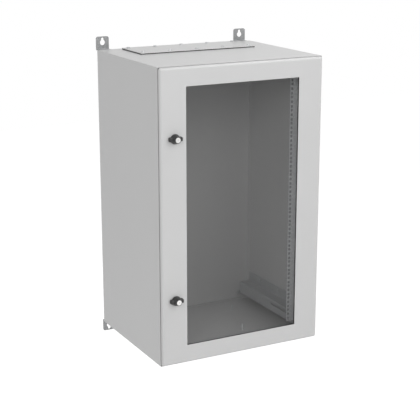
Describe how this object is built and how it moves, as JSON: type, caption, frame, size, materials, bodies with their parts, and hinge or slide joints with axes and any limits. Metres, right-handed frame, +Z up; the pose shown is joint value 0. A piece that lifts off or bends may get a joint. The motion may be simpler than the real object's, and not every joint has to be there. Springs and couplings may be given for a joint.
{
  "type": "wall-mount data cabinet",
  "caption": "Wall-mount data cabinet with a glazed hinged door, two wing knob locks, rack rails inside, cable entry plates and keyhole wall brackets.",
  "frame": {"origin": "on the wall plane, in the middle of the round ends of the four wall-bracket keyholes", "axes": "+X to the right seen from the front, +Y back into the wall, +Z up"},
  "size_m": [0.6, 0.5421, 1.073],
  "materials": {
    "cabinet_paint": "light grey fine-textured powder coat",
    "zinc_plate": "zinc-plated steel",
    "black_plastic": "black glass-filled polyamide",
    "bright_metal": "satin nickel plate",
    "smoked_glass": "smoked safety glass",
    "rubber": "black EPDM",
    "foam": "poured polyurethane foam"
  },
  "bodies": {
    "cabinet": {"body_shell": "cabinet_paint", "depth_profile_bottom_left": "zinc_plate", "depth_profile_bottom_right": "zinc_plate", "depth_profile_nuts": "zinc_plate", "depth_profile_studs": "zinc_plate", "depth_profile_top_left": "zinc_plate", "depth_profile_top_right": "zinc_plate", "earth_studs": "zinc_plate", "entry_gasket": "rubber", "entry_nuts": "zinc_plate", "entry_plate": "cabinet_paint", "entry_screws": "zinc_plate", "front_frame": "cabinet_paint", "hinge_frame_lower": "zinc_plate", "hinge_frame_upper": "zinc_plate", "hinge_pin_lower": "bright_metal", "hinge_pin_upper": "bright_metal", "hinge_screws": "zinc_plate", "mounting_rail_left": "zinc_plate", "mounting_rail_right": "zinc_plate", "rail_nuts": "zinc_plate", "rail_screws": "zinc_plate", "rear_panel": "cabinet_paint", "wall_bracket_bolts": "zinc_plate", "wall_bracket_bottom_left": "zinc_plate", "wall_bracket_bottom_right": "zinc_plate", "wall_bracket_nuts": "zinc_plate", "wall_bracket_top_left": "zinc_plate", "wall_bracket_top_right": "zinc_plate"},
    "door": {"door_panel": "cabinet_paint", "window_glass": "smoked_glass", "window_gasket": "rubber", "window_retainer": "cabinet_paint", "retainer_nuts": "zinc_plate", "door_seal": "foam", "hinge_leaf_lower": "zinc_plate", "lock_housing_lower": "black_plastic", "lock_nut_lower": "zinc_plate", "hinge_leaf_upper": "zinc_plate", "lock_housing_upper": "black_plastic", "lock_nut_upper": "zinc_plate"},
    "knob_upper": {"knob_upper": "black_plastic", "lock_shaft_upper": "zinc_plate", "cam_upper": "zinc_plate", "cam_screw_upper": "zinc_plate"},
    "key_plug_upper": {"key_plug_upper": "bright_metal"},
    "knob_lower": {"knob_lower": "black_plastic", "lock_shaft_lower": "zinc_plate", "cam_lower": "zinc_plate", "cam_screw_lower": "zinc_plate"},
    "key_plug_lower": {"key_plug_lower": "bright_metal"}
  },
  "joints": [
    {"name": "door_hinge", "type": "hinge", "parent": "cabinet", "child": "door", "pos_m": [0.291, -0.508, 0.0015], "axis": [0, 0, 1], "range_deg": [0, 120]},
    {"name": "knob_upper_turn", "type": "hinge", "parent": "door", "child": "knob_upper", "pos_m": [-0.248, -0.516, 0.2685], "axis": [0, 1, 0], "range_deg": [0, 90]},
    {"name": "key_plug_upper_turn", "type": "hinge", "parent": "knob_upper", "child": "key_plug_upper", "pos_m": [-0.248, -0.541, 0.2685], "axis": [0, 1, 0], "range_deg": [0, 90]},
    {"name": "knob_lower_turn", "type": "hinge", "parent": "door", "child": "knob_lower", "pos_m": [-0.248, -0.516, -0.2655], "axis": [0, 1, 0], "range_deg": [0, 90]},
    {"name": "key_plug_lower_turn", "type": "hinge", "parent": "knob_lower", "child": "key_plug_lower", "pos_m": [-0.248, -0.541, -0.2655], "axis": [0, 1, 0], "range_deg": [0, 90]}
  ]
}
